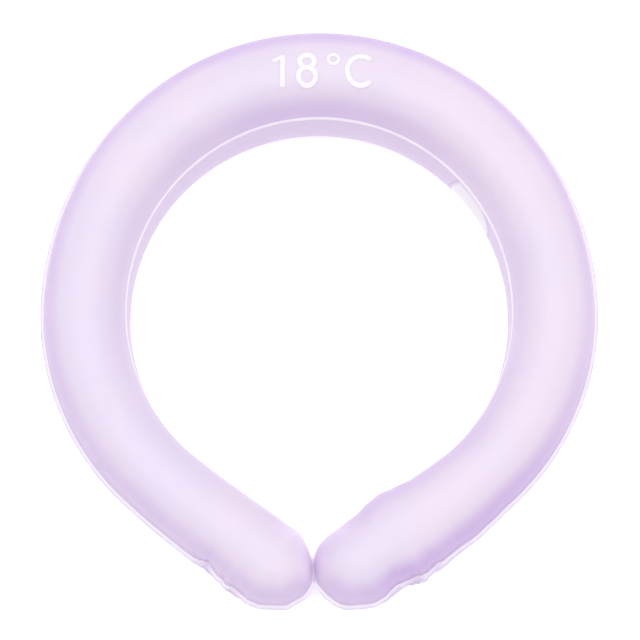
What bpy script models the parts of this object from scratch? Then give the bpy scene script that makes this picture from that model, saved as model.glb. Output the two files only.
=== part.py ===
"""Cooling neck ring at its real size, in metres, lying on its back as on a table.

Two formed films are welded together along a flat edge into an open ring of soft tube, and a gel
fills the tube. +Z is up, +Y is the side of the nape, and the ring's two ends meet towards -Y.
"""
from collections import namedtuple
from math import cos, exp, pi, radians, sin

import bmesh
import bpy
from mathutils import Vector

# Plan of the ring: from its centre to the middle line of the tube
MIDDLE_TO_SIDE = 0.0628
MIDDLE_TO_BACK = 0.0662
MIDDLE_TO_FRONT = 0.0622

# Width of the tube between the two edges of its dome
WIDTH_AT_BACK = 0.0236
WIDTH_AT_SIDE = 0.0212
WIDTH_AT_LEGS = 0.0199
WIDTH_AT_ENDS = 0.0214

# Heights above and below the weld, and the flat band that the ring lies on
FRONT_HEIGHT = 0.0115
REAR_HEIGHT = 0.0160
REST_BAND = 0.0080

# Film, weld edge and the clearances between the pieces
FILM = 0.0008
OUTER_WELD = 0.0013
INNER_WELD = 0.0005
WELD_GAP = 0.0003
GEL_CLEARANCE = 0.0003
GAP_BETWEEN_ENDS = 0.0004

# Roundness of the two domes: 2 is an ellipse, and more is squarer
FRONT_SQUARENESS = 2.3
REAR_SQUARENESS = 4.2
INNER_BULGE = 0.0009
NAPE_BULGE = 0.0018
OUTER_BULGE = 0.0003
BULGE_DEPTH_POWER = 1.5

# The ring leaves its round for two nearly straight legs at this turn from its front
LEG_TURN = radians(42)

# Where the two ends touch, to the left of the ring's centre
MEETING_OFFSET = 0.0011

# Each leg: its side, how far its round end lies in front, and its slope where it ends.
# The distance is a share of MIDDLE_TO_FRONT.
Leg = namedtuple("Leg", "side front_share slope")
LEFT_LEG = Leg(side=-1, front_share=1.118, slope=radians(38))
RIGHT_LEG = Leg(side=1, front_share=1.111, slope=radians(38))

# The blunt round of each end, which the weld pulls into short flats. Directions turn from the
# line between the ends towards the nape, reaches are shares of half the tube's width, and
# inner_share says how far the wide outer weld has narrowed to the inner one.
Flat = namedtuple("Flat", "direction left_reach right_reach inner_share")
END_FLATS = (
    Flat(direction=radians(-109), left_reach=0.95, right_reach=0.98, inner_share=0.0),
    Flat(direction=radians(-90), left_reach=0.90, right_reach=0.93, inner_share=0.0),
    Flat(direction=radians(-71), left_reach=0.97, right_reach=1.00, inner_share=0.0),
    Flat(direction=radians(-41), left_reach=1.00, right_reach=1.00, inner_share=0.0),
    Flat(direction=radians(-20), left_reach=0.95, right_reach=1.01, inner_share=0.1),
    Flat(direction=radians(4), left_reach=0.88, right_reach=0.99, inner_share=0.3),
    Flat(direction=radians(25), left_reach=0.89, right_reach=1.01, inner_share=0.6),
    Flat(direction=radians(42), left_reach=0.96, right_reach=1.01, inner_share=0.9),
)

# Puckers along the legs. Along and spread are shares of the leg's length from its round end,
# the edge is +1 on the outer side and -1 on the inner side, and push and lift are shares of
# the outer weld's width.
Pucker = namedtuple("Pucker", "side edge along spread push lift")
PUCKERS = (
    Pucker(side=-1, edge=1, along=0.00, spread=0.07, push=0.30, lift=0.10),
    Pucker(side=-1, edge=1, along=0.10, spread=0.06, push=-0.25, lift=0.15),
    Pucker(side=-1, edge=1, along=0.34, spread=0.06, push=-0.35, lift=0.20),
    Pucker(side=1, edge=1, along=0.13, spread=0.07, push=-0.50, lift=0.10),
    Pucker(side=1, edge=1, along=0.26, spread=0.06, push=0.75, lift=0.20),
    Pucker(side=1, edge=1, along=0.55, spread=0.08, push=0.60, lift=0.15),
    Pucker(side=1, edge=-1, along=0.35, spread=0.12, push=1.10, lift=0.0),
)

# The pocket on the inner wall, right of the nape, that the gel leaves empty
VOID_TURN = radians(234)
VOID_SPREAD = radians(9)
VOID_DEPTH = 0.0012

# Fineness of the mesh
ARC_STEPS = 26
LEG_STEPS = 12
FRONT_STEPS = 6
REAR_STEPS = 6
SAME_PLACE = 1e-6
SHARP_FROM = radians(40)

# Colours and finishes
FRONT_LILAC = (0.80, 0.72, 0.90)
REAR_LILAC = (0.72, 0.64, 0.83)
GEL_VIOLET = (0.62, 0.48, 0.82)
FILM_ROUGHNESS = 0.35
GEL_ROUGHNESS = 0.30

Station = namedtuple("Station", "middle out half_width weld bulge lift void")
Middle = namedtuple("Middle", "place along half_width turn leg leg_share")


def smooth_bump(distance, spread):
    """1 where the distance is nothing, fading to 0 past the spread."""
    return exp(-(distance / spread) ** 2)


def arc_place(turn):
    """A point on the middle line's round, turned clockwise from the ring's front."""
    reach = MIDDLE_TO_FRONT if cos(turn) > 0 else MIDDLE_TO_BACK
    return Vector((-MIDDLE_TO_SIDE * sin(turn), -reach * cos(turn)))


def arc_heading(turn):
    """The direction of the middle line there, clockwise seen from above."""
    reach = MIDDLE_TO_FRONT if cos(turn) > 0 else MIDDLE_TO_BACK
    return Vector((-MIDDLE_TO_SIDE * cos(turn), reach * sin(turn))).normalized()


def nape_share(turn):
    """0 at the ring's sides, rising to 1 at the nape."""
    return cos(turn) ** 2 if cos(turn) < 0 else 0.0


def half_width_at(turn):
    """Half the tube's width, which swells from its legs to the nape."""
    legs_share = min(1.0, (cos(turn) / cos(LEG_TURN)) ** 2) if cos(turn) > 0 else 0.0
    width = (WIDTH_AT_SIDE + (WIDTH_AT_BACK - WIDTH_AT_SIDE) * nape_share(turn)
             + (WIDTH_AT_LEGS - WIDTH_AT_SIDE) * legs_share)
    return width / 2


def end_station(leg, flat, centre):
    """The half section at one flat of a leg's round end."""
    out = Vector((-leg.side * cos(flat.direction), sin(flat.direction)))
    half_width = WIDTH_AT_ENDS / 2 * (flat.left_reach if leg.side < 0 else flat.right_reach)
    weld = OUTER_WELD + (INNER_WELD - OUTER_WELD) * flat.inner_share
    bulge = OUTER_BULGE + (INNER_BULGE - OUTER_BULGE) * flat.inner_share
    return Station(centre, out, half_width, weld, bulge, 0.0, 0.0)


def end_centre(leg):
    """The middle of a leg's round end, so that the two ends nearly touch."""
    flats = [end_station(leg, flat, Vector((0, 0))) for flat in END_FLATS]
    tip = max((flat.half_width + flat.weld) * abs(flat.out.x) for flat in flats)
    across = -MEETING_OFFSET + leg.side * (tip + GAP_BETWEEN_ENDS / 2)
    return Vector((across, -leg.front_share * MIDDLE_TO_FRONT))


def leg_middle(leg, share):
    """A point of the middle line on a leg, from its round end at 0 to the ring's round at 1."""
    turn = LEG_TURN if leg.side < 0 else 2 * pi - LEG_TURN
    start = end_centre(leg)
    finish = arc_place(turn)
    length = (finish - start).length
    leaving = Vector((leg.side * cos(leg.slope), sin(leg.slope))) * length
    arriving = arc_heading(turn) * -leg.side * length
    place = (start * (1 + 2 * share) * (1 - share) ** 2 + leaving * share * (1 - share) ** 2
             + finish * share ** 2 * (3 - 2 * share) + arriving * share ** 2 * (share - 1))
    slope = ((finish - start) * 6 * share * (1 - share)
             + leaving * (1 - share) * (1 - 3 * share) + arriving * share * (3 * share - 2))
    half_width = (WIDTH_AT_ENDS + (WIDTH_AT_LEGS - WIDTH_AT_ENDS) * share) / 2
    return Middle(place, slope.normalized() * -leg.side, half_width, turn, leg, share)


def middle_line():
    """The middle line of the tube, clockwise from the left end to the right one."""
    line = [leg_middle(LEFT_LEG, step / LEG_STEPS) for step in range(LEG_STEPS)]
    for step in range(ARC_STEPS + 1):
        turn = LEG_TURN + (2 * pi - 2 * LEG_TURN) * step / ARC_STEPS
        line.append(Middle(arc_place(turn), arc_heading(turn), half_width_at(turn), turn, None, 1.0))
    line += [leg_middle(RIGHT_LEG, step / LEG_STEPS) for step in reversed(range(LEG_STEPS))]
    return line


def side_station(middle, edge):
    """The half section on the outer (+1) or inner (-1) side of the tube."""
    out = Vector((-middle.along.y, middle.along.x)) * edge
    push = 0.0
    lift = 0.0
    if middle.leg:
        for pucker in PUCKERS:
            if (pucker.side, pucker.edge) == (middle.leg.side, edge):
                near = smooth_bump(middle.leg_share - pucker.along, pucker.spread)
                push += OUTER_WELD * pucker.push * near
                lift += OUTER_WELD * pucker.lift * near
    void = 0.0
    if edge < 0 and not middle.leg:
        void = VOID_DEPTH * smooth_bump(middle.turn - VOID_TURN, VOID_SPREAD)
    weld = OUTER_WELD if edge > 0 else INNER_WELD
    inner_bulge = INNER_BULGE + (NAPE_BULGE - INNER_BULGE) * nape_share(middle.turn)
    bulge = OUTER_BULGE if edge > 0 else inner_bulge
    return Station(middle.place, out, middle.half_width + push, weld, bulge, lift, void)


def ring_stations():
    """All half sections, clockwise along the ring's outline and back along its inner side."""
    line = middle_line()
    outer = [side_station(middle, 1) for middle in line]
    inner = [side_station(middle, -1) for middle in reversed(line)]
    left_end = [end_station(LEFT_LEG, flat, end_centre(LEFT_LEG)) for flat in reversed(END_FLATS)]
    right_end = [end_station(RIGHT_LEG, flat, end_centre(RIGHT_LEG)) for flat in END_FLATS]
    return outer + right_end + inner + left_end


def dome_section(half_width, base, height, flat, squareness, bulge, steps):
    """Half of a formed film's section, from its weld to the middle line, as (out, up) pairs."""
    section = []
    for step in range(steps + 1):
        turn = pi / 2 * step / steps
        up = sin(turn) ** (2 / squareness)
        out = flat + (half_width - flat) * abs(cos(turn)) ** (2 / squareness)
        out += bulge * sin(pi * up ** BULGE_DEPTH_POWER)
        section.append((out, base + (height - base) * up))
    if flat:
        section.append((0.0, height))
    else:
        section[-1] = (0.0, height)
    return section


def front_section(station, inset=0.0):
    """The front dome's face above the weld, or a face inside it by the inset."""
    return dome_section(station.half_width - inset, WELD_GAP / 2 + FILM, FRONT_HEIGHT - inset, 0.0,
                        FRONT_SQUARENESS, 0.0, FRONT_STEPS)


def rear_section(station, inset=0.0):
    """The rear dome's face, or a face inside it, with up standing for the depth below the weld."""
    return dome_section(station.half_width - inset, WELD_GAP / 2 + FILM, REAR_HEIGHT - inset,
                        REST_BAND / 2, REAR_SQUARENESS, station.bulge, REAR_STEPS)


def rest_shift():
    """The move that puts the middle of the ring's outline over the origin."""
    corners = [station.middle + station.out * (station.half_width + station.weld)
               for station in ring_stations()]
    middle_x = (min(corner.x for corner in corners) + max(corner.x for corner in corners)) / 2
    middle_y = (min(corner.y for corner in corners) + max(corner.y for corner in corners)) / 2
    return Vector((-middle_x, -middle_y, REAR_HEIGHT))


def place_row(bm, station, row, side, shift):
    """The vertices of one half section, with side +1 above the weld and -1 below it."""
    verts = []
    for out, up in row:
        spot = station.middle + station.out * out
        verts.append(bm.verts.new(Vector((spot.x, spot.y, side * up)) + shift))
    return verts


def skin_rows(bm, rows, flip):
    """Quads between neighbouring rows round the closed loop."""
    for row, following in zip(rows, rows[1:] + rows[:1]):
        for index in range(len(row) - 1):
            corners = [row[index], row[index + 1], following[index + 1], following[index]]
            bm.faces.new(corners[::-1] if flip else corners)


def new_material(name, colour, roughness):
    material = bpy.data.materials.new(name)
    material.use_nodes = True
    shader = material.node_tree.nodes["Principled BSDF"]
    shader.inputs["Base Color"].default_value = (*colour, 1.0)
    shader.inputs["Roughness"].default_value = roughness
    shader.inputs["Metallic"].default_value = 0.0
    return material


def finish_object(name, bm, material, collection):
    """An object from a bmesh whose rows still lie double along the middle line."""
    bmesh.ops.remove_doubles(bm, verts=bm.verts, dist=SAME_PLACE)
    mesh = bpy.data.meshes.new(name)
    bm.to_mesh(mesh)
    bm.free()
    mesh.materials.append(material)
    mesh.shade_smooth()
    mesh.set_sharp_from_angle(angle=SHARP_FROM)
    piece = bpy.data.objects.new(name, mesh)
    collection.objects.link(piece)
    return piece


def make_film(name, section_of, side, colour, collection):
    """One formed film with its weld edge: an open sheet that Solidify gives its wall."""
    bm = bmesh.new()
    rows = []
    for station in ring_stations():
        weld_face = WELD_GAP / 2 + FILM + side * station.lift
        weld_edge = (station.half_width + station.weld, weld_face)
        rows.append(place_row(bm, station, [weld_edge] + section_of(station), side, rest_shift()))
    skin_rows(bm, rows, flip=side < 0)
    piece = finish_object(name, bm, new_material(name, colour, FILM_ROUGHNESS), collection)
    wall = piece.modifiers.new("film", "SOLIDIFY")
    wall.thickness = FILM
    wall.offset = -1
    wall.use_even_offset = True
    wall.use_quality_normals = True
    return piece


def make_gel(collection):
    """The gel, just inside both films, with the pocket that it leaves empty."""
    bm = bmesh.new()
    inset = FILM + GEL_CLEARANCE
    upper_rows = []
    lower_rows = []
    for station in ring_stations():
        upper_rows.append(place_row(bm, station, front_section(station, inset), 1, rest_shift()))
        lower = rear_section(station, inset)
        deepest = lower[-1][1]
        lower = [(out - station.void * sin(pi * up / deepest), up) for out, up in lower[:-1]]
        lower_rows.append(place_row(bm, station, lower + [(0.0, deepest)], -1, rest_shift()))
    skin_rows(bm, upper_rows, flip=False)
    skin_rows(bm, lower_rows, flip=True)
    skin_rows(bm, [[lower[0], upper[0]] for lower, upper in zip(lower_rows, upper_rows)], flip=False)
    return finish_object("gel_fill", bm, new_material("gel_fill", GEL_VIOLET, GEL_ROUGHNESS), collection)


def clear_scene():
    for item in list(bpy.data.objects):
        bpy.data.objects.remove(item, do_unlink=True)


def main():
    clear_scene()
    collection = bpy.data.collections.new("cooling_neck_ring")
    bpy.context.scene.collection.children.link(collection)
    make_film("front_film", front_section, 1, FRONT_LILAC, collection)
    make_film("back_film", rear_section, -1, REAR_LILAC, collection)
    make_gel(collection)


main()
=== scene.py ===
from collections import namedtuple
from math import cos, exp, pi, radians, sin

import bmesh
import bpy
from mathutils import Euler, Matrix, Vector, noise
from mathutils.bvhtree import BVHTree


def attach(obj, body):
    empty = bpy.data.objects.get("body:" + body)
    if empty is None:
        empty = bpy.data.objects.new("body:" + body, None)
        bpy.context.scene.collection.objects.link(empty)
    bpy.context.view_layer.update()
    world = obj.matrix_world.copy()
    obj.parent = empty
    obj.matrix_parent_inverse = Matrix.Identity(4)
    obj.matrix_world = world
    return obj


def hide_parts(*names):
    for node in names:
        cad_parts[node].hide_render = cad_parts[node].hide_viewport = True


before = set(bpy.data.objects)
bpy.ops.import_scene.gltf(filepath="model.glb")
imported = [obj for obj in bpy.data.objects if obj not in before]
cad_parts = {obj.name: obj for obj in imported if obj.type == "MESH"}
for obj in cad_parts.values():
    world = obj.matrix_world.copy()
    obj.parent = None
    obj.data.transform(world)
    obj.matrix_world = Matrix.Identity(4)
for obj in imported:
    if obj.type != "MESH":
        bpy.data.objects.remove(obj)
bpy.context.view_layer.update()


# Camera.
# The photograph looks down on the ring from a little in front of it, with a long lens, so the inner
# wall shows under the nape and the tube keeps nearly the same width all the way round.
CAMERA_TARGET = Vector((0.0002, -0.0028, 0.016))
CAMERA_TILT = radians(15)
CAMERA_DISTANCE = 0.5
CAMERA_LENS_MM = 105.1
CAMERA_SENSOR_MM = 36.0

camera_data = bpy.data.cameras.new("camera")
camera_data.lens = CAMERA_LENS_MM
camera_data.sensor_width = CAMERA_SENSOR_MM
camera = bpy.data.objects.new("camera", camera_data)
camera.rotation_euler = Euler((CAMERA_TILT, 0.0, 0.0))
camera.location = CAMERA_TARGET + Vector((0.0, -sin(CAMERA_TILT), cos(CAMERA_TILT))) * CAMERA_DISTANCE
bpy.context.scene.collection.objects.link(camera)
bpy.context.scene.camera = camera


# Back film.
# The deeper of the two films: soft frosted plastic, drawn warm into a tray that follows the ring, with
# a flat band to lie on and a narrow edge left flat for the weld. It takes the gel before it is closed.
# The open ring's plan: the middle of its tube on the round, the tube's width from place to place, and
# the two straight legs with the middles of their round ends.
WELD_HEIGHT = 0.016
ROUND_TO_SIDE = 0.0628
ROUND_TO_NAPE = 0.0662
ROUND_TO_FRONT = 0.0622
TUBE_AT_NAPE = 0.0236
TUBE_AT_SIDE = 0.0212
TUBE_AT_LEGS = 0.0199
TUBE_AT_ENDS = 0.0214
LEG_TURN = radians(42)
LEG_SLOPE = radians(38)
LEFT = -1
RIGHT = 1
END_MIDDLE = {LEFT: Vector((-0.0120, -0.06954)), RIGHT: Vector((0.01073, -0.0691))}
OUTER_WELD = 0.0013
INNER_WELD = 0.0005
OUTLINE_SHIFT_Y = 0.00064

# The films' section: the back one's depth and how square it is, the band that it lies on, and how far
# its wall bulges behind the weld.
BACK_DEPTH = 0.016
BACK_SQUARENESS = 4.2
BACK_REST_BAND = 0.0040
BULGE_INSIDE = 0.0009
BULGE_AT_NAPE = 0.0018
BULGE_OUTSIDE = 0.0003
WELD_HALF_THICKNESS = 0.0005
FILM_WALL = 0.00047
FILLET = 0.00045
BULGE_LOWERED = 1.5
TUCK_HEIGHT = 0.003

# The round end of a leg is pulled into short flats: direction in degrees, reach of the left and of
# the right end to the rim of the weld, and how much of that is weld, all in millimetres.
EndFlat = namedtuple("EndFlat", "direction left right weld")
END_FLATS = (
    EndFlat(-109, 11.40, 11.45, 1.3),
    EndFlat(-90, 10.93, 11.25, 1.3),
    EndFlat(-71, 11.68, 12.15, 1.3),
    EndFlat(-58, 11.45, 12.50, 1.3),
    EndFlat(-41, 12.05, 12.60, 1.2),
    EndFlat(-20, 11.62, 13.08, 0.8),
    EndFlat(4, 10.80, 12.85, 0.6),
    EndFlat(25, 10.45, 12.30, 0.6),
    EndFlat(42, 10.85, 11.55, 0.6),
)

# Puckers of the weld along the legs, where the films were not laid quite flat. The share runs up
# the leg from its round end. There the push moves the outline outwards, the tuck moves the foot of
# the dome inwards, so that the weld is wider, and the lift curls the rim up, all in millimetres.
Pucker = namedtuple("Pucker", "share push tuck lift")
FLAT_WELD = (Pucker(0.0, 0.0, 0.0, 0.0), Pucker(1.0, 0.0, 0.0, 0.0))
PUCKERS = {
    (LEFT, 1): (
        Pucker(0.000, -0.25, 0.0, 0.00),
        Pucker(0.033, -0.40, 0.0, 0.00),
        Pucker(0.080, -0.28, 0.1, 0.30),
        Pucker(0.133, -0.23, 0.3, 0.45),
        Pucker(0.165, 0.22, 0.3, 0.10),
        Pucker(0.190, 0.15, 0.0, -0.10),
        Pucker(0.215, -0.60, -0.3, 0.35),
        Pucker(0.260, -0.42, -0.2, 0.10),
        Pucker(0.300, -0.50, 0.1, 0.00),
        Pucker(0.335, -0.65, 0.5, 0.25),
        Pucker(0.367, -0.95, 0.8, 0.60),
        Pucker(0.400, -0.47, 0.7, 0.10),
        Pucker(0.433, -0.44, 0.1, 0.35),
        Pucker(0.480, -0.15, 0.0, 0.00),
        Pucker(1.000, 0.00, 0.0, 0.00),
    ),
    (RIGHT, 1): (
        Pucker(0.000, -0.72, 0.0, 0.00),
        Pucker(0.060, -0.90, 0.2, 0.35),
        Pucker(0.110, -1.10, 0.1, 0.10),
        Pucker(0.167, -0.55, 0.2, 0.00),
        Pucker(0.215, 0.10, 0.4, 0.50),
        Pucker(0.260, 0.80, 0.9, 0.70),
        Pucker(0.300, 1.45, 0.9, 0.20),
        Pucker(0.340, 1.05, 0.2, 0.00),
        Pucker(0.385, 0.78, 0.1, 0.30),
        Pucker(0.430, 1.09, 0.7, 0.50),
        Pucker(0.470, 1.17, 0.4, 0.10),
        Pucker(0.530, 0.85, 0.2, 0.00),
        Pucker(0.610, 0.65, 0.1, 0.10),
        Pucker(0.720, 0.70, 0.0, 0.00),
        Pucker(0.860, 0.35, 0.0, 0.00),
        Pucker(1.000, 0.00, 0.0, 0.00),
    ),
    (LEFT, -1): FLAT_WELD,
    (RIGHT, -1): (
        Pucker(0.00, 0.0, 0.0, 0.0),
        Pucker(0.16, 0.2, 0.0, 0.0),
        Pucker(0.28, 1.1, 0.0, 0.0),
        Pucker(0.37, 1.45, 0.0, 0.0),
        Pucker(0.47, 0.8, 0.0, 0.0),
        Pucker(0.62, 0.1, 0.0, 0.0),
        Pucker(1.00, 0.0, 0.0, 0.0),
    ),
}

# How fine the films' sheets are, how often the corners of the flats are eased, and how far the share
# goes on below 0 for each column round an end.
LEG_COLUMNS = 130
ROUND_COLUMNS = 180
COLUMNS_PER_FLAT = 6
DOME_ROWS = 24
DOME_TRIAL_STEPS = 400
END_SMOOTHING = 3
SHARE_PER_END_COLUMN = 0.004
MERGE_DISTANCE = 0.000002

Spot = namedtuple("Spot", "place heading half_tube turn leg share")
Station = namedtuple("Station", "place out half_tube weld bulge push tuck lift turn leg share edge")


def on_the_round(turn):
    """The middle of the tube, turned clockwise from the ring's front."""
    reach = ROUND_TO_FRONT if cos(turn) > 0 else ROUND_TO_NAPE
    place = Vector((-ROUND_TO_SIDE * sin(turn), -reach * cos(turn)))
    heading = Vector((-ROUND_TO_SIDE * cos(turn), reach * sin(turn))).normalized()
    nape = min(0.0, cos(turn)) ** 2
    legs = min(1.0, max(0.0, cos(turn) / cos(LEG_TURN)) ** 2)
    tube = TUBE_AT_SIDE + (TUBE_AT_NAPE - TUBE_AT_SIDE) * nape + (TUBE_AT_LEGS - TUBE_AT_SIDE) * legs
    return Spot(place, heading, tube / 2, turn, 0, 1.0)


def rim_corner(leg, flat):
    """Where a flat's corner lies on the rim, from the middle of the leg's round end."""
    direction = radians(flat.direction)
    reach = (flat.left if leg == LEFT else flat.right) / 1000
    return Vector((-leg * cos(direction), sin(direction))) * reach


def on_the_leg(leg, share):
    """The middle of the tube on a leg, from its round end at 0 to the ring's round at 1."""
    turn = LEG_TURN if leg == LEFT else 2 * pi - LEG_TURN
    root = on_the_round(turn)
    start = END_MIDDLE[leg]
    length = (root.place - start).length
    leaving = Vector((leg * cos(LEG_SLOPE), sin(LEG_SLOPE))) * length
    arriving = root.heading * -leg * length
    left_over = 1 - share
    place = (start * (1 + 2 * share) * left_over ** 2 + leaving * share * left_over ** 2
             + root.place * share ** 2 * (3 - 2 * share) - arriving * share ** 2 * left_over)
    slope = ((root.place - start) * 6 * share * left_over
             + leaving * left_over * (1 - 3 * share) + arriving * share * (3 * share - 2))
    half_tube = (TUBE_AT_ENDS + (TUBE_AT_LEGS - TUBE_AT_ENDS) * share) / 2
    return Spot(place, slope.normalized() * -leg, half_tube, turn, leg, share)


def pucker_at(leg, edge, share):
    """The push, the tuck and the lift of the weld at a place on a leg, in metres."""
    if not leg:
        return 0.0, 0.0, 0.0
    table = PUCKERS[leg, edge]
    for near, far in zip(table, table[1:]):
        if share <= far.share:
            way = (share - near.share) / (far.share - near.share)
            way = way * way * (3 - 2 * way)
            return [(first + (second - first) * way) / 1000 for first, second in zip(near[1:], far[1:])]
    return 0.0, 0.0, 0.0


def beside(spot, edge):
    """The half section on the outer (+1) or the inner (-1) side of the tube."""
    out = Vector((-spot.heading.y, spot.heading.x)) * edge
    push, tuck, lift = pucker_at(spot.leg, edge, spot.share)
    nape = min(0.0, cos(spot.turn)) ** 2
    bulge = BULGE_OUTSIDE if edge > 0 else BULGE_INSIDE + (BULGE_AT_NAPE - BULGE_INSIDE) * nape
    weld = OUTER_WELD if edge > 0 else INNER_WELD
    return Station(spot.place, out, spot.half_tube, weld, bulge, push, tuck, lift,
                   spot.turn, spot.leg, spot.share, edge)


def round_the_end(leg, first, last):
    """Stations round a leg's end, between the two half sections where its sides stop."""
    middle = END_MIDDLE[leg]
    corners = [(first.out * (first.half_tube + first.push + first.weld), first.weld, first.bulge)]
    for flat in END_FLATS:
        corners.append((rim_corner(leg, flat), flat.weld / 1000, BULGE_OUTSIDE))
    corners.append((last.out * (last.half_tube + last.push + last.weld), last.weld, last.bulge))
    points = []
    for (near, near_weld, near_bulge), (far, far_weld, far_bulge) in zip(corners, corners[1:]):
        for step in range(COLUMNS_PER_FLAT):
            share = step / COLUMNS_PER_FLAT
            points.append((near.lerp(far, share), near_weld + (far_weld - near_weld) * share,
                           near_bulge + (far_bulge - near_bulge) * share))
    points.append(corners[-1])
    for _ in range(END_SMOOTHING):
        eased = [(before[0] + point[0] * 2 + after[0]) / 4
                 for before, point, after in zip(points, points[1:], points[2:])]
        points = [points[0]] + [(spot, *point[1:]) for spot, point in zip(eased, points[1:])] + [points[-1]]
    return [Station(middle, spot.normalized(), spot.length - weld, weld, bulge, 0.0, 0.0, 0.0,
                    first.turn, leg, -SHARE_PER_END_COLUMN * column, 1)
            for column, (spot, weld, bulge) in enumerate(points[1:-1], 1)]


def all_stations():
    """Half sections round the ring's outline, and back along its inner side."""
    line = [on_the_leg(LEFT, step / LEG_COLUMNS) for step in range(LEG_COLUMNS)]
    for step in range(ROUND_COLUMNS + 1):
        line.append(on_the_round(LEG_TURN + (2 * pi - 2 * LEG_TURN) * step / ROUND_COLUMNS))
    line += [on_the_leg(RIGHT, step / LEG_COLUMNS) for step in reversed(range(LEG_COLUMNS))]
    outer = [beside(spot, 1) for spot in line]
    inner = [beside(spot, -1) for spot in reversed(line)]
    right_end = round_the_end(RIGHT, outer[-1], inner[0])
    left_end = round_the_end(LEFT, outer[0], inner[-1])
    return outer + right_end + inner + left_end[::-1]


def quarter_section(turn, squareness):
    """How far out and how far up a dome is at a turn, as shares of its half width and its height."""
    return abs(cos(turn)) ** (2 / squareness), sin(turn) ** (2 / squareness)


def even_turns(squareness, width, height):
    """Turns round a dome's quarter section that leave about the same way between its rows."""
    points = []
    for step in range(DOME_TRIAL_STEPS + 1):
        out, up = quarter_section(pi / 2 * step / DOME_TRIAL_STEPS, squareness)
        points.append(Vector((width * out, height * up)))
    ways = [0.0]
    for near, far in zip(points, points[1:]):
        ways.append(ways[-1] + (far - near).length)
    turns = []
    for row in range(DOME_ROWS + 1):
        wanted = ways[-1] * row / DOME_ROWS
        index = next(index for index, way in enumerate(ways) if way >= wanted - 1e-9)
        turns.append(pi / 2 * index / DOME_TRIAL_STEPS)
    return turns


WAVE_HEIGHT = 0.00022
WAVE_SCALE = 55.0
RIPPLE_HEIGHT = 0.00006
RIPPLE_SCALE = 210.0


def swell(place):
    """The slight waviness of a soft filled tube."""
    return WAVE_HEIGHT * noise.noise(place * WAVE_SCALE) + RIPPLE_HEIGHT * noise.noise(place * RIPPLE_SCALE)


# The rows across the weld as shares of it, from the rim inwards, how far behind the weld the puckers
# reach, and the half sections that both films and the gel share.
WELD_SHARES = (1.0, 0.93, 0.75, 0.5, 0.25, 0.07)
PUCKER_DEPTH = 0.005
STATIONS = all_stations()


def half_width(station, side, rise):
    """The half width of a film at its foot or higher: behind the weld the puckers soon fade out."""
    fade = exp(-(rise / PUCKER_DEPTH) ** 2) if side < 0 else 1.0
    return station.half_tube + station.push * fade


def bulge_at(station, up):
    """How far the wall behind the weld stands out, the most a little nearer to the table."""
    return station.bulge * sin(pi * up ** BULGE_LOWERED)


def smooth(value, low, high):
    """0 at low and 1 at high, with a soft step between."""
    share = min(1.0, max(0.0, (value - low) / (high - low)))
    return share * share * (3 - 2 * share)


# Painted shade: how much deeper a lilac is painted at the foot of the dome, on the inner and the
# outer side, most along the right leg, and more at the nape than on the ring's two sides.
SHADE_INSIDE = 0.18
SHADE_INSIDE_NAPE = 0.34
SHADE_OUTSIDE = 0.56
SHADE_OUTSIDE_NAPE = 0.30
SHADE_RIGHT_LEG = 0.42

# Where the painted shade sets in across the tube, and where the right leg's own painted shade does
# round the ring and towards the leg's end.
STARTS_INSIDE = 0.62
SOONER_ON_RIGHT_LEG = 0.15
STARTS_OUTSIDE = 0.44
SOONER_AT_NAPE = 0.10
RANGE_OUTSIDE = 0.44
RIGHT_LEG_TURNS = (radians(280), radians(322))
RIGHT_LEG_SHARES = (-0.12, 0.14)

# The legs' ends face each other over a narrow weld, and are painted paler there, with less painted
# shade and a painted glow, for the light that comes through them.
FACING_WELDS = (0.00125, 0.00062)
FACING_SHARES = (0.20, 0.0)
FACING_ON_RIGHT = 0.6
PALER_OUTSIDE = 0.85
PALER_INSIDE = 0.8


def facing_other_end(station):
    """1 where a leg's end faces the other one, and 0 on the rest of the ring."""
    if not station.leg:
        return 0.0
    facing = smooth(station.weld, *FACING_WELDS) * smooth(station.share, *FACING_SHARES)
    return facing * (1.0 if station.leg == LEFT else FACING_ON_RIGHT)


def painted_shade_at(station, across):
    """The painted shade, from 0 on the crown up to 1, across a half section from 0 to 1."""
    right_leg = smooth(station.turn, *RIGHT_LEG_TURNS) * smooth(station.share, *RIGHT_LEG_SHARES)
    nape = max(0.0, -cos(station.turn))
    facing = facing_other_end(station)
    if station.edge > 0:
        start = STARTS_OUTSIDE - SOONER_AT_NAPE * nape ** 2
        painted_shade = SHADE_OUTSIDE + SHADE_OUTSIDE_NAPE * nape + SHADE_RIGHT_LEG * right_leg
        return smooth(across, start, start + RANGE_OUTSIDE) * painted_shade * (1 - PALER_OUTSIDE * facing)
    start = STARTS_INSIDE - SOONER_ON_RIGHT_LEG * right_leg
    painted_shade = SHADE_INSIDE + SHADE_INSIDE_NAPE * nape ** 4 + SHADE_RIGHT_LEG * right_leg
    return smooth(across, start, 1.0) * painted_shade * (1 - PALER_INSIDE * facing)


# How far along the weld each half section stands, for what repeats along it.
WAYS = [0.0]
for near, far in zip(STATIONS, STATIONS[1:]):
    step = far.place + far.out * far.half_tube - near.place - near.out * near.half_tube
    WAYS.append(WAYS[-1] + step.length)

FULL_WELD = 0.0008
CURL_IN_FRONT = 1.5


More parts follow.
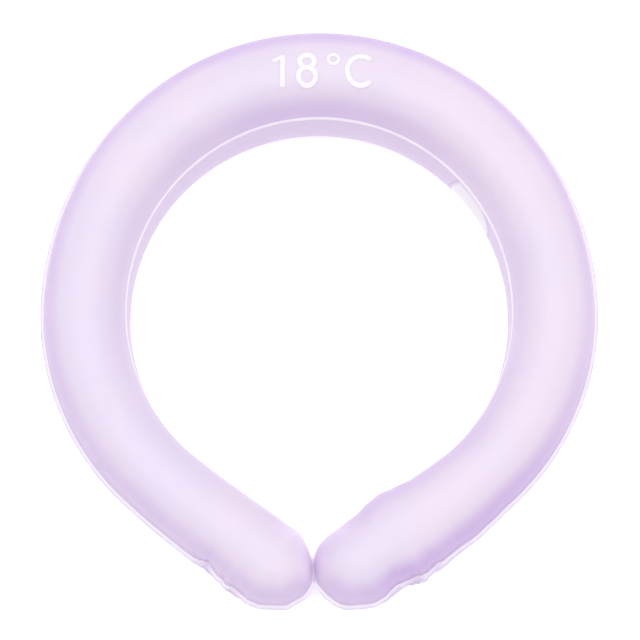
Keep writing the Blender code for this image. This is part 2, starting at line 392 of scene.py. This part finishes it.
def film_place(station, row, turns, side, height, squareness, rest_band):
    """A point of a film's outer face, its painted shade, its share up the dome and over the weld."""
    half_tube = half_width(station, side, 0.0)
    foot = half_tube - station.tuck + FILLET
    if row < len(WELD_SHARES):
        share = WELD_SHARES[row]
        edge = half_tube + station.weld
        out = foot + (edge - foot) * share
        flat = station.place + station.out * out
        curl = station.lift * share * share * (CURL_IN_FRONT if side > 0 else 1.0)
        over_weld = share * min(1.0, (edge - foot) / FULL_WELD)
        return Vector((flat.x, flat.y, side * WELD_HALF_THICKNESS + curl)), 0.0, 0.0, over_weld
    narrowing, up = quarter_section(turns[row - len(WELD_SHARES)], squareness)
    rise = (height - WELD_HALF_THICKNESS) * up
    half_tube = half_width(station, side, rise)
    out = rest_band + (half_tube - rest_band) * narrowing
    if side < 0:
        out += bulge_at(station, up)
    out += FILLET * exp(-rise / FILLET) - station.tuck * exp(-(rise / TUCK_HEIGHT) ** 2)
    if row == len(WELD_SHARES) + len(turns) - 1 and not rest_band:
        out = 0.0
    flat = station.place + station.out * out
    place = Vector((flat.x, flat.y, side * (WELD_HALF_THICKNESS + rise)))
    soft = up * (1 - up ** 6) if side < 0 else up
    spread = Vector((station.out.x * (1 - up), station.out.y * (1 - up), side * up)).normalized()
    return place + spread * swell(place) * soft, painted_shade_at(station, out / half_tube), up, 0.0


def to_table(place):
    """From the weld's plane to the frame, where the ring lies on the floor over the origin."""
    return place + Vector((0.0, OUTLINE_SHIFT_Y, WELD_HEIGHT))


# The pocket where the gel does not reach the inner wall, between two turns in degrees and two shares of
# the way down. Near the weld its left side is blunt, and its top edge drops away to the right.
POCKET_STARTS = 226.0
POCKET_ENDS = 245.5
POCKET_TOP = 0.03
POCKET_BOTTOM = 0.97
POCKET_BLUNT = 3.5
POCKET_BLUNT_DOWN_TO = 0.6
POCKET_DROP = 0.4
POCKET_DROP_FROM = 238
POCKET_DROP_TURNS = 8
POCKET_TOP_EDGE = 7
POCKET_BOTTOM_EDGE = 16


def pocket_depth(station, down):
    """Above 0 where the gel leaves the film, in degrees of turn from the pocket's edge."""
    if station.edge > 0 or station.leg:
        return -1.0
    turn = station.turn * 180 / pi
    blunt = POCKET_BLUNT * max(0.0, 1 - down / POCKET_BLUNT_DOWN_TO) ** 2
    top = POCKET_TOP + POCKET_DROP * max(0.0, (turn - POCKET_DROP_FROM) / POCKET_DROP_TURNS) ** 2
    return max(-1.0, min(turn - POCKET_STARTS - blunt, POCKET_ENDS - turn,
                         (down - top) * POCKET_TOP_EDGE, (POCKET_BOTTOM - down) * POCKET_BOTTOM_EDGE))


def to_object(bm, name):
    """Hands a modelled mesh over to the scene."""
    mesh = bpy.data.meshes.new(name)
    bm.to_mesh(mesh)
    bm.free()
    made = bpy.data.objects.new(name, mesh)
    bpy.context.scene.collection.objects.link(made)
    return made


FILM_VALUES = ("painted_shade", "rise", "weld", "along", "pocket", "painted_glow")
PAINTED_GLOW_RISES = (0.98, 0.55)


def formed_film(name, side, height, squareness, rest_band):
    """A flat sheet pressed over its mould: the sheet's columns go round the ring's outline."""
    turns = even_turns(squareness, TUBE_AT_SIDE / 2, height)
    rows = len(WELD_SHARES) + len(turns)
    if rest_band:
        rows += 1
    bm = bmesh.new()
    bmesh.ops.create_grid(bm, x_segments=len(STATIONS), y_segments=rows - 1, size=0.5)
    layers = [bm.verts.layers.float.new(value_name) for value_name in FILM_VALUES]
    for vert in bm.verts:
        column = round((vert.co.x + 0.5) * len(STATIONS)) % len(STATIONS)
        row = round((vert.co.y + 0.5) * (rows - 1))
        station = STATIONS[column]
        if row == len(WELD_SHARES) + len(turns):
            vert.co = to_table(Vector((station.place.x, station.place.y, side * height)))
            vert[layers[FILM_VALUES.index("rise")]] = 1.0
            continue
        place, painted_shade, rise, weld = film_place(station, row, turns, side, height, squareness, rest_band)
        vert.co = to_table(place)
        pocket = pocket_depth(station, rise) if side < 0 else -1.0
        # Painted glow of the facing ends, fading up the dome.
        painted_glow = facing_other_end(station) * smooth(rise, *PAINTED_GLOW_RISES)
        for layer, value in zip(layers, (painted_shade, rise, weld, WAYS[column], pocket, painted_glow)):
            vert[layer] = value
    bmesh.ops.remove_doubles(bm, verts=bm.verts, dist=MERGE_DISTANCE)
    if side > 0:
        bmesh.ops.reverse_faces(bm, faces=bm.faces)
    film = to_object(bm, name)
    film.data.shade_smooth()
    wall = film.modifiers.new("wall", "SOLIDIFY")
    wall.thickness = FILM_WALL
    wall.offset = -1
    wall.use_even_offset = True
    return film


class Wire:
    """One output of a shader node, with arithmetic that adds Math nodes."""

    def __init__(self, tree, socket=None):
        self.tree = tree
        self.socket = socket

    def node(self, kind, settings=None, inputs=None, output=0):
        """Adds a node: its settings first, then a value or a link for each socket named."""
        made = self.tree.nodes.new(kind)
        for name, value in (settings or {}).items():
            setattr(made, name, value)
        for name, value in (inputs or {}).items():
            if isinstance(value, Wire):
                self.tree.links.new(value.socket, made.inputs[name])
            else:
                made.inputs[name].default_value = value
        return Wire(self.tree, made.outputs[output])

    def maths(self, operation, first, second=0.0):
        return self.node("ShaderNodeMath", {"operation": operation}, {0: first, 1: second})

    def __add__(self, other):
        return self.maths("ADD", self, other)

    __radd__ = __add__

    def __mul__(self, other):
        return self.maths("MULTIPLY", self, other)

    __rmul__ = __mul__

    def __sub__(self, other):
        return self.maths("SUBTRACT", self, other)

    def __rsub__(self, other):
        return self.maths("SUBTRACT", other, self)

    def band(self, low, high):
        """0 below low and 1 above high, or the other way round, with a soft step between."""
        return self.node("ShaderNodeMapRange", {"interpolation_type": "SMOOTHSTEP"},
                         {"Value": self, "From Min": low, "From Max": high})

    def blend(self, first, second):
        """From the first colour to the second as this wire goes from 0 to 1."""
        return self.node("ShaderNodeMix", {"data_type": "RGBA"}, {0: self, 6: first, 7: second}, output=2)


def from_screen(red, green, blue):
    """A colour as read on a screen, in Blender's linear light."""
    return (*[(value / 255) ** 2.2 for value in (red, green, blue)], 1.0)


def new_finish(name):
    """A material with its shader, and a loose wire to start its nodes from."""
    material = bpy.data.materials.new(name)
    material.use_nodes = True
    shader = material.node_tree.nodes["Principled BSDF"]
    return material, shader, Wire(material.node_tree)


def join(wire, shader, socket):
    wire.tree.links.new(wire.socket, shader.inputs[socket])


def carried(start, name):
    """A value that the mesh carries at each of its points."""
    return start.node("ShaderNodeAttribute", {"attribute_name": name}, output=2)


def speckle(place, scale, detail):
    """Soft noise about 0.5."""
    return place.node("ShaderNodeTexNoise", None, {"Vector": place, "Scale": scale, "Detail": detail})


def banding(along, scale):
    """Noise about 0.5 that changes only along the weld."""
    return along.node("ShaderNodeTexNoise", {"noise_dimensions": "1D"},
                      {"W": along, "Scale": scale, "Detail": 2.0})


FILM_ON_CROWN = from_screen(228, 214, 238)
FILM_PINK = from_screen(236, 217, 239)
FILM_BLUE = from_screen(224, 211, 240)
# The darker lilac that is painted at the foot of the dome as shade.
FILM_PAINTED_SHADE = from_screen(206, 178, 230)
FILM_AT_WELD = from_screen(225, 208, 236)
# Painted shade on the back film, darker low down.
FILM_UNDERNEATH_SHADED = from_screen(218, 203, 233)
# The clear weld's pale colour with a painted highlight along the seam, and the painted shade of its rim.
WELD_PALE_AND_HIGHLIGHT = from_screen(245, 236, 250)
WELD_LILAC = from_screen(229, 220, 237)
WELD_RIM_SHADE = from_screen(174, 167, 186)
# Painted glow, as emission, of the clear weld and of the two facing ends.
WELD_PAINTED_GLOW = (0.30, 0.26, 0.32, 1.0)
END_PAINTED_GLOW = (0.37, 0.32, 0.36, 1.0)
UNLIT = (0.0, 0.0, 0.0, 1.0)
PAINTED_GLOW_STRENGTH = 0.2
FILM_ALPHA = 0.88
WELD_ALPHA = 0.9
POCKET_PALE = from_screen(245, 240, 249)
# The pocket's lilac edge, also painted as shade where the back film's wall turns under.
POCKET_EDGE_AND_SHADE = from_screen(203, 186, 219)

# The frost's three sizes of speckle, the ticks and streaks along the weld, and the fine crimp that the
# hot frame's teeth leave in it.
CLOUD_SCALE = 38.0
MOTTLE_SCALE = 420.0
FROST_SCALE = 2600.0
TICK_SCALE = 620.0
STREAK_SCALE = 150.0
CRIMP_SCALE = 5700.0
BLUER_TO_THE_LEFT = 1.6
TINT_SHARE = 0.5
SHADE_IN_CLOUDS = 0.6


def film_finish(name, pocket):
    """Frosted lilac film: paler on its crown, with painted shade lower down, nearly clear along the weld
    and bright there with a painted highlight and a painted glow.
    """
    material, shader, start = new_finish(name)
    place = start.node("ShaderNodeTexCoord", output=3)
    painted_shade, rise, weld, along, hollow, painted_glow = [carried(start, value_name) for value_name in FILM_VALUES]
    clouds = speckle(place, CLOUD_SCALE, 2.0)
    mottle = speckle(place, MOTTLE_SCALE, 3.0)
    frost = speckle(place, FROST_SCALE, 2.0)
    ticks = banding(along, TICK_SCALE)
    streaks = banding(along, STREAK_SCALE)

    # The tube: pinker and bluer clouds, under painted shade that deepens the lilac where the mesh carries
    # it.
    sideways = start.node("ShaderNodeSeparateXYZ", None, {"Vector": place}, output=0)
    tint = (clouds - sideways * BLUER_TO_THE_LEFT).band(0.30, 0.70).blend(FILM_PINK, FILM_BLUE)
    colour = start.node("ShaderNodeMix", {"data_type": "RGBA"},
                        {0: TINT_SHARE, 6: FILM_ON_CROWN, 7: tint}, output=2)
    # Painted shade, a little uneven in the clouds, plus random mottle.
    shade_and_mottle = painted_shade + painted_shade * (clouds - 0.5) * SHADE_IN_CLOUDS + (mottle - 0.5) * 0.04
    colour = shade_and_mottle.blend(colour, FILM_PAINTED_SHADE)

    # The back film has its own colours, with painted shade that makes it darker low down, most where its
    # wall turns under, and white in the pocket within a lilac edge.
    if pocket:
        colour = rise.band(0.2, 0.95).blend(FILM_AT_WELD, FILM_UNDERNEATH_SHADED)
        # Painted shade in a band where the back film's wall turns under.
        colour = (rise.band(0.80, 0.92) * 0.6).blend(colour, POCKET_EDGE_AND_SHADE)
        hollow = hollow + (mottle - 0.5) * 0.5
        colour = (hollow.band(-0.5, 0.1) * hollow.band(0.6, 0.1) * 0.7).blend(colour, POCKET_EDGE_AND_SHADE)
        colour = hollow.band(0.1, 1.6).blend(colour, POCKET_PALE)

    # The weld: white next to the tube, as clear film and a painted highlight, then lilac with pale ticks,
    # and greyer in streaks at its rim, as painted shade.
    on_weld = rise.band(0.052, 0.016)
    weld_colour = weld.band(0.18, 0.40).blend(WELD_PALE_AND_HIGHLIGHT, WELD_LILAC)
    weld_colour = (weld.band(0.35, 0.60) * ticks.band(0.44, 0.32) * 0.6).blend(weld_colour, WELD_PALE_AND_HIGHLIGHT)
    rim_shade = weld.band(0.62, 0.84) * (0.42 + streaks.band(0.42, 0.62) * 0.28)
    weld_colour = rim_shade.blend(weld_colour, WELD_RIM_SHADE)
    join(on_weld.blend(colour, weld_colour), shader, "Base Color")
    join(FILM_ALPHA + on_weld * (WELD_ALPHA - FILM_ALPHA), shader, "Alpha")

    # Painted glow: emission on the clear weld and the two facing ends, for the light that they let through.
    join(on_weld.blend(painted_glow.blend(UNLIT, END_PAINTED_GLOW), WELD_PAINTED_GLOW), shader, "Emission Color")
    shader.inputs["Emission Strength"].default_value = PAINTED_GLOW_STRENGTH

    join(0.36 + mottle * 0.12, shader, "Roughness")
    crimp = start.maths("SINE", along * CRIMP_SCALE)
    grain = frost * 0.35 + mottle * 0.65 + crimp * on_weld * 0.4
    bump = start.node("ShaderNodeBump", None, {"Strength": 0.25, "Distance": 0.0001, "Height": grain})
    join(bump, shader, "Normal")
    shader.inputs["Subsurface Weight"].default_value = 0.25
    shader.inputs["Subsurface Radius"].default_value = (1.0, 0.8, 1.2)
    shader.inputs["Subsurface Scale"].default_value = 0.002
    shader.inputs["Specular IOR Level"].default_value = 0.3
    return material


back_film = formed_film("back_film_skin", -1, BACK_DEPTH, BACK_SQUARENESS, BACK_REST_BAND)
back_film.data.materials.append(film_finish("back_film_frosted", True))
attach(back_film, "root")
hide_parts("back_film")


# Gel.
# The cooling gel, a lilac jelly poured into the back film and shut in by the front one. It fills the
# tube right up to both films, apart from one small pocket on the inner wall right of the nape.
FRONT_RISE = 0.0115
FRONT_SQUARENESS = 2.3
GEL_INSET = 0.0006
GEL_GONE_AT = radians(234)
GEL_GONE_OVER = radians(9)
GEL_GONE_BY = 0.0012
GEL_SIDE_ROWS = 16

GEL_DEEP = from_screen(212, 190, 234)
GEL_PALE = from_screen(230, 214, 243)
GEL_BUBBLE = from_screen(244, 236, 250)
DRIFT_SCALE = 60.0
BUBBLE_SCALE = 320.0


def gel_profile(station, side, turn):
    """A point of the gel's face in a half section, as its way out and its way up or down."""
    squareness = FRONT_SQUARENESS if side > 0 else BACK_SQUARENESS
    height = (FRONT_RISE if side > 0 else BACK_DEPTH) - GEL_INSET
    band = 0.0 if side > 0 else BACK_REST_BAND
    narrowing, up = quarter_section(turn, squareness)
    rise = (height - WELD_HALF_THICKNESS) * up
    out = band + (half_width(station, side, rise) - GEL_INSET - band) * narrowing
    if side < 0:
        out += bulge_at(station, up)
        if station.edge < 0:
            gone = exp(-((station.turn - GEL_GONE_AT) / GEL_GONE_OVER) ** 2)
            out -= GEL_GONE_BY * gone * sin(pi * up)
    out -= station.tuck * exp(-(rise / TUCK_HEIGHT) ** 2)
    return out, side * (WELD_HALF_THICKNESS + rise), up


bm = bmesh.new()
gel_rows = 2 * GEL_SIDE_ROWS + 2
bmesh.ops.create_grid(bm, x_segments=len(STATIONS), y_segments=gel_rows, size=0.5)
rise_layer = bm.verts.layers.float.new("rise")
front_turns = even_turns(FRONT_SQUARENESS, TUBE_AT_SIDE / 2, FRONT_RISE)
back_turns = even_turns(BACK_SQUARENESS, TUBE_AT_SIDE / 2, BACK_DEPTH)
for vert in bm.verts:
    station = STATIONS[round((vert.co.x + 0.5) * len(STATIONS)) % len(STATIONS)]
    row = round((vert.co.y + 0.5) * gel_rows) - GEL_SIDE_ROWS - 1
    side = 1 if row > 0 else -1
    if abs(row) > GEL_SIDE_ROWS:
        height = (FRONT_RISE if side > 0 else BACK_DEPTH) - GEL_INSET
        out, up, rise = 0.0, side * height, 1.0
    else:
        turns = front_turns if side > 0 else back_turns
        turn = turns[round(abs(row) * DOME_ROWS / GEL_SIDE_ROWS)] if row else 0.0
        out, up, rise = gel_profile(station, side, turn)
        if row == 0:
            up = 0.0
        if abs(row) == GEL_SIDE_ROWS and side > 0:
            out = 0.0
    flat = station.place + station.out * out
    vert.co = to_table(Vector((flat.x, flat.y, up)))
    vert[rise_layer] = rise
bmesh.ops.remove_doubles(bm, verts=bm.verts, dist=MERGE_DISTANCE)
bmesh.ops.reverse_faces(bm, faces=bm.faces)
gel = to_object(bm, "gel_body")
gel.data.shade_smooth()

gel_finish, gel_shader, start = new_finish("gel_lilac")
place = start.node("ShaderNodeTexCoord", output=3)
drift = speckle(place, DRIFT_SCALE, 3.0)
bubbles = start.node("ShaderNodeTexVoronoi", None, {"Vector": place, "Scale": BUBBLE_SCALE})
gel_colour = drift.band(0.3, 0.7).blend(GEL_DEEP, GEL_PALE)
gel_colour = bubbles.band(0.16, 0.08).blend(gel_colour, GEL_BUBBLE)
join(gel_colour, gel_shader, "Base Color")
join(0.22 + drift * 0.15, gel_shader, "Roughness")
gel_bump = start.node("ShaderNodeBump", None, {"Strength": 0.2, "Distance": 0.0003, "Height": drift})
join(gel_bump, gel_shader, "Normal")
gel_shader.inputs["Subsurface Weight"].default_value = 0.8
gel_shader.inputs["Subsurface Radius"].default_value = (1.0, 0.75, 1.25)
gel_shader.inputs["Subsurface Scale"].default_value = 0.006
gel.data.materials.append(gel_finish)
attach(gel, "root")
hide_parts("gel_fill")


# Front film.
# The shallower film of the side that shows: the same frosted plastic, drawn over a low round mould and
# laid on the filled tray. A hot frame presses the two edges together all round, which leaves the weld.
front_film = formed_film("front_film_skin", 1, FRONT_RISE, FRONT_SQUARENESS, 0.0)
front_film.data.materials.append(film_finish("front_film_frosted", False))
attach(front_film, "root")
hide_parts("front_film")


# Print.
# The temperature at which the gel sets, screen printed in one pass of white ink on the crown of the
# nape, in plain figures of an even stroke. The ink bends with the film and stands hardly proud of it.
PRINT_MIDDLE = Vector((0.0006, 0.0642))
INK_ABOVE_FILM = 0.00005
INK_OVERLAP = 0.000004
INK_THICKNESS = 0.00008
RIBBON_STEPS = 40
RIBBON_ACROSS = 4

# Each round stroke: its middle, its two radii and the turns between which it is drawn. Each
# straight one: its two ends. All are in millimetres from the middle of the print.
RoundStroke = namedtuple("RoundStroke", "wide x y across tall start end")
StraightStroke = namedtuple("StraightStroke", "wide x1 y1 x2 y2")
STROKES = (
    StraightStroke(1.50, -10.53, 4.45, -10.53, -4.50),
    StraightStroke(1.00, -13.25, 2.65, -10.75, 3.92),
    RoundStroke(1.55, -3.95, 2.65, 2.02, 1.82, 0, 360),
    RoundStroke(1.55, -3.95, -1.57, 2.33, 2.42, 0, 360),
    RoundStroke(0.90, 3.25, 3.28, 1.43, 1.35, 0, 360),
    RoundStroke(1.50, 10.75, 0.0, 3.80, 4.15, 47, 313),
)


def stroke_point(stroke, share):
    """A point on a stroke's middle and the direction across it, in metres."""
    if isinstance(stroke, StraightStroke):
        start = Vector((stroke.x1, stroke.y1))
        end = Vector((stroke.x2, stroke.y2))
        way = (end - start).normalized()
        return start.lerp(end, share) / 1000, Vector((-way.y, way.x))
    turn = radians(stroke.start + (stroke.end - stroke.start) * share)
    spot = Vector((stroke.x + stroke.across * cos(turn), stroke.y + stroke.tall * sin(turn)))
    across = Vector((cos(turn) * stroke.tall, sin(turn) * stroke.across)).normalized()
    return spot / 1000, across


bpy.context.view_layer.update()
film_surface = BVHTree.FromObject(front_film, bpy.context.evaluated_depsgraph_get())
bm = bmesh.new()
for layer, stroke in enumerate(STROKES):
    before = set(bm.verts)
    bmesh.ops.create_grid(bm, x_segments=RIBBON_STEPS, y_segments=RIBBON_ACROSS, size=0.5)
    for vert in set(bm.verts) - before:
        middle, across = stroke_point(stroke, vert.co.x + 0.5)
        spot = PRINT_MIDDLE + middle + across * stroke.wide / 1000 * -vert.co.y
        hit, normal, _, _ = film_surface.ray_cast(Vector((spot.x, spot.y, 0.1)), Vector((0, 0, -1)))
        vert.co = hit + normal * (INK_ABOVE_FILM + layer * INK_OVERLAP)
bmesh.ops.remove_doubles(bm, verts=bm.verts, dist=MERGE_DISTANCE)
bmesh.ops.recalc_face_normals(bm, faces=bm.faces)
for face in bm.faces:
    if face.normal.z < 0:
        face.normal_flip()
figures = to_object(bm, "printed_figures")
figures.data.shade_smooth()
ink_wall = figures.modifiers.new("ink", "SOLIDIFY")
ink_wall.thickness = INK_THICKNESS
ink_wall.offset = -1

INK_WHITE = from_screen(233, 228, 237)
INK_THIN = from_screen(228, 221, 234)
MESH_MARK_SCALE = 1500.0

ink, ink_shader, start = new_finish("white_ink")
place = start.node("ShaderNodeTexCoord", output=3)
mesh_marks = speckle(place, MESH_MARK_SCALE, 2.0)
join(mesh_marks.band(0.35, 0.65).blend(INK_WHITE, INK_THIN), ink_shader, "Base Color")
join(0.45 + mesh_marks * 0.15, ink_shader, "Roughness")
ink_bump = start.node("ShaderNodeBump", None, {"Strength": 0.2, "Distance": 0.00005, "Height": mesh_marks})
join(ink_bump, ink_shader, "Normal")
figures.data.materials.append(ink)
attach(figures, "root")


# Table and light.
# A white table, one wide soft light straight above it and an even white surround, as for a plain
# catalogue picture.
TABLE_SIZE = 60.0
TABLE_WHITE = (0.9, 0.9, 0.9, 1.0)
TABLE_GLOW = 0.42
TABLE_ROUGHNESS = 0.9
LIGHT_SIZE = 0.9
LIGHT_POWER = 9.0
LIGHT_PLACE = Vector((0.0, 0.10, 1.15))
SURROUND = 0.70

bm = bmesh.new()
bmesh.ops.create_grid(bm, x_segments=8, y_segments=8, size=TABLE_SIZE / 2)
table = to_object(bm, "table")
table_finish, table_shader, _ = new_finish("table_white")
table_shader.inputs["Base Color"].default_value = TABLE_WHITE
table_shader.inputs["Roughness"].default_value = TABLE_ROUGHNESS
table_shader.inputs["Emission Color"].default_value = (1.0, 1.0, 1.0, 1.0)
table_shader.inputs["Emission Strength"].default_value = TABLE_GLOW
table.data.materials.append(table_finish)

softbox_data = bpy.data.lights.new("softbox", "AREA")
softbox_data.shape = "SQUARE"
softbox_data.size = LIGHT_SIZE
softbox_data.energy = LIGHT_POWER
softbox = bpy.data.objects.new("softbox", softbox_data)
softbox.location = LIGHT_PLACE
softbox.rotation_euler = LIGHT_PLACE.to_track_quat("Z", "Y").to_euler()
bpy.context.scene.collection.objects.link(softbox)

world = bpy.data.worlds.new("surround")
world.use_nodes = True
world.node_tree.nodes["Background"].inputs["Color"].default_value = (1.0, 1.0, 1.0, 1.0)
world.node_tree.nodes["Background"].inputs["Strength"].default_value = SURROUND
bpy.context.scene.world = world
bpy.context.scene.view_settings.view_transform = "Standard"
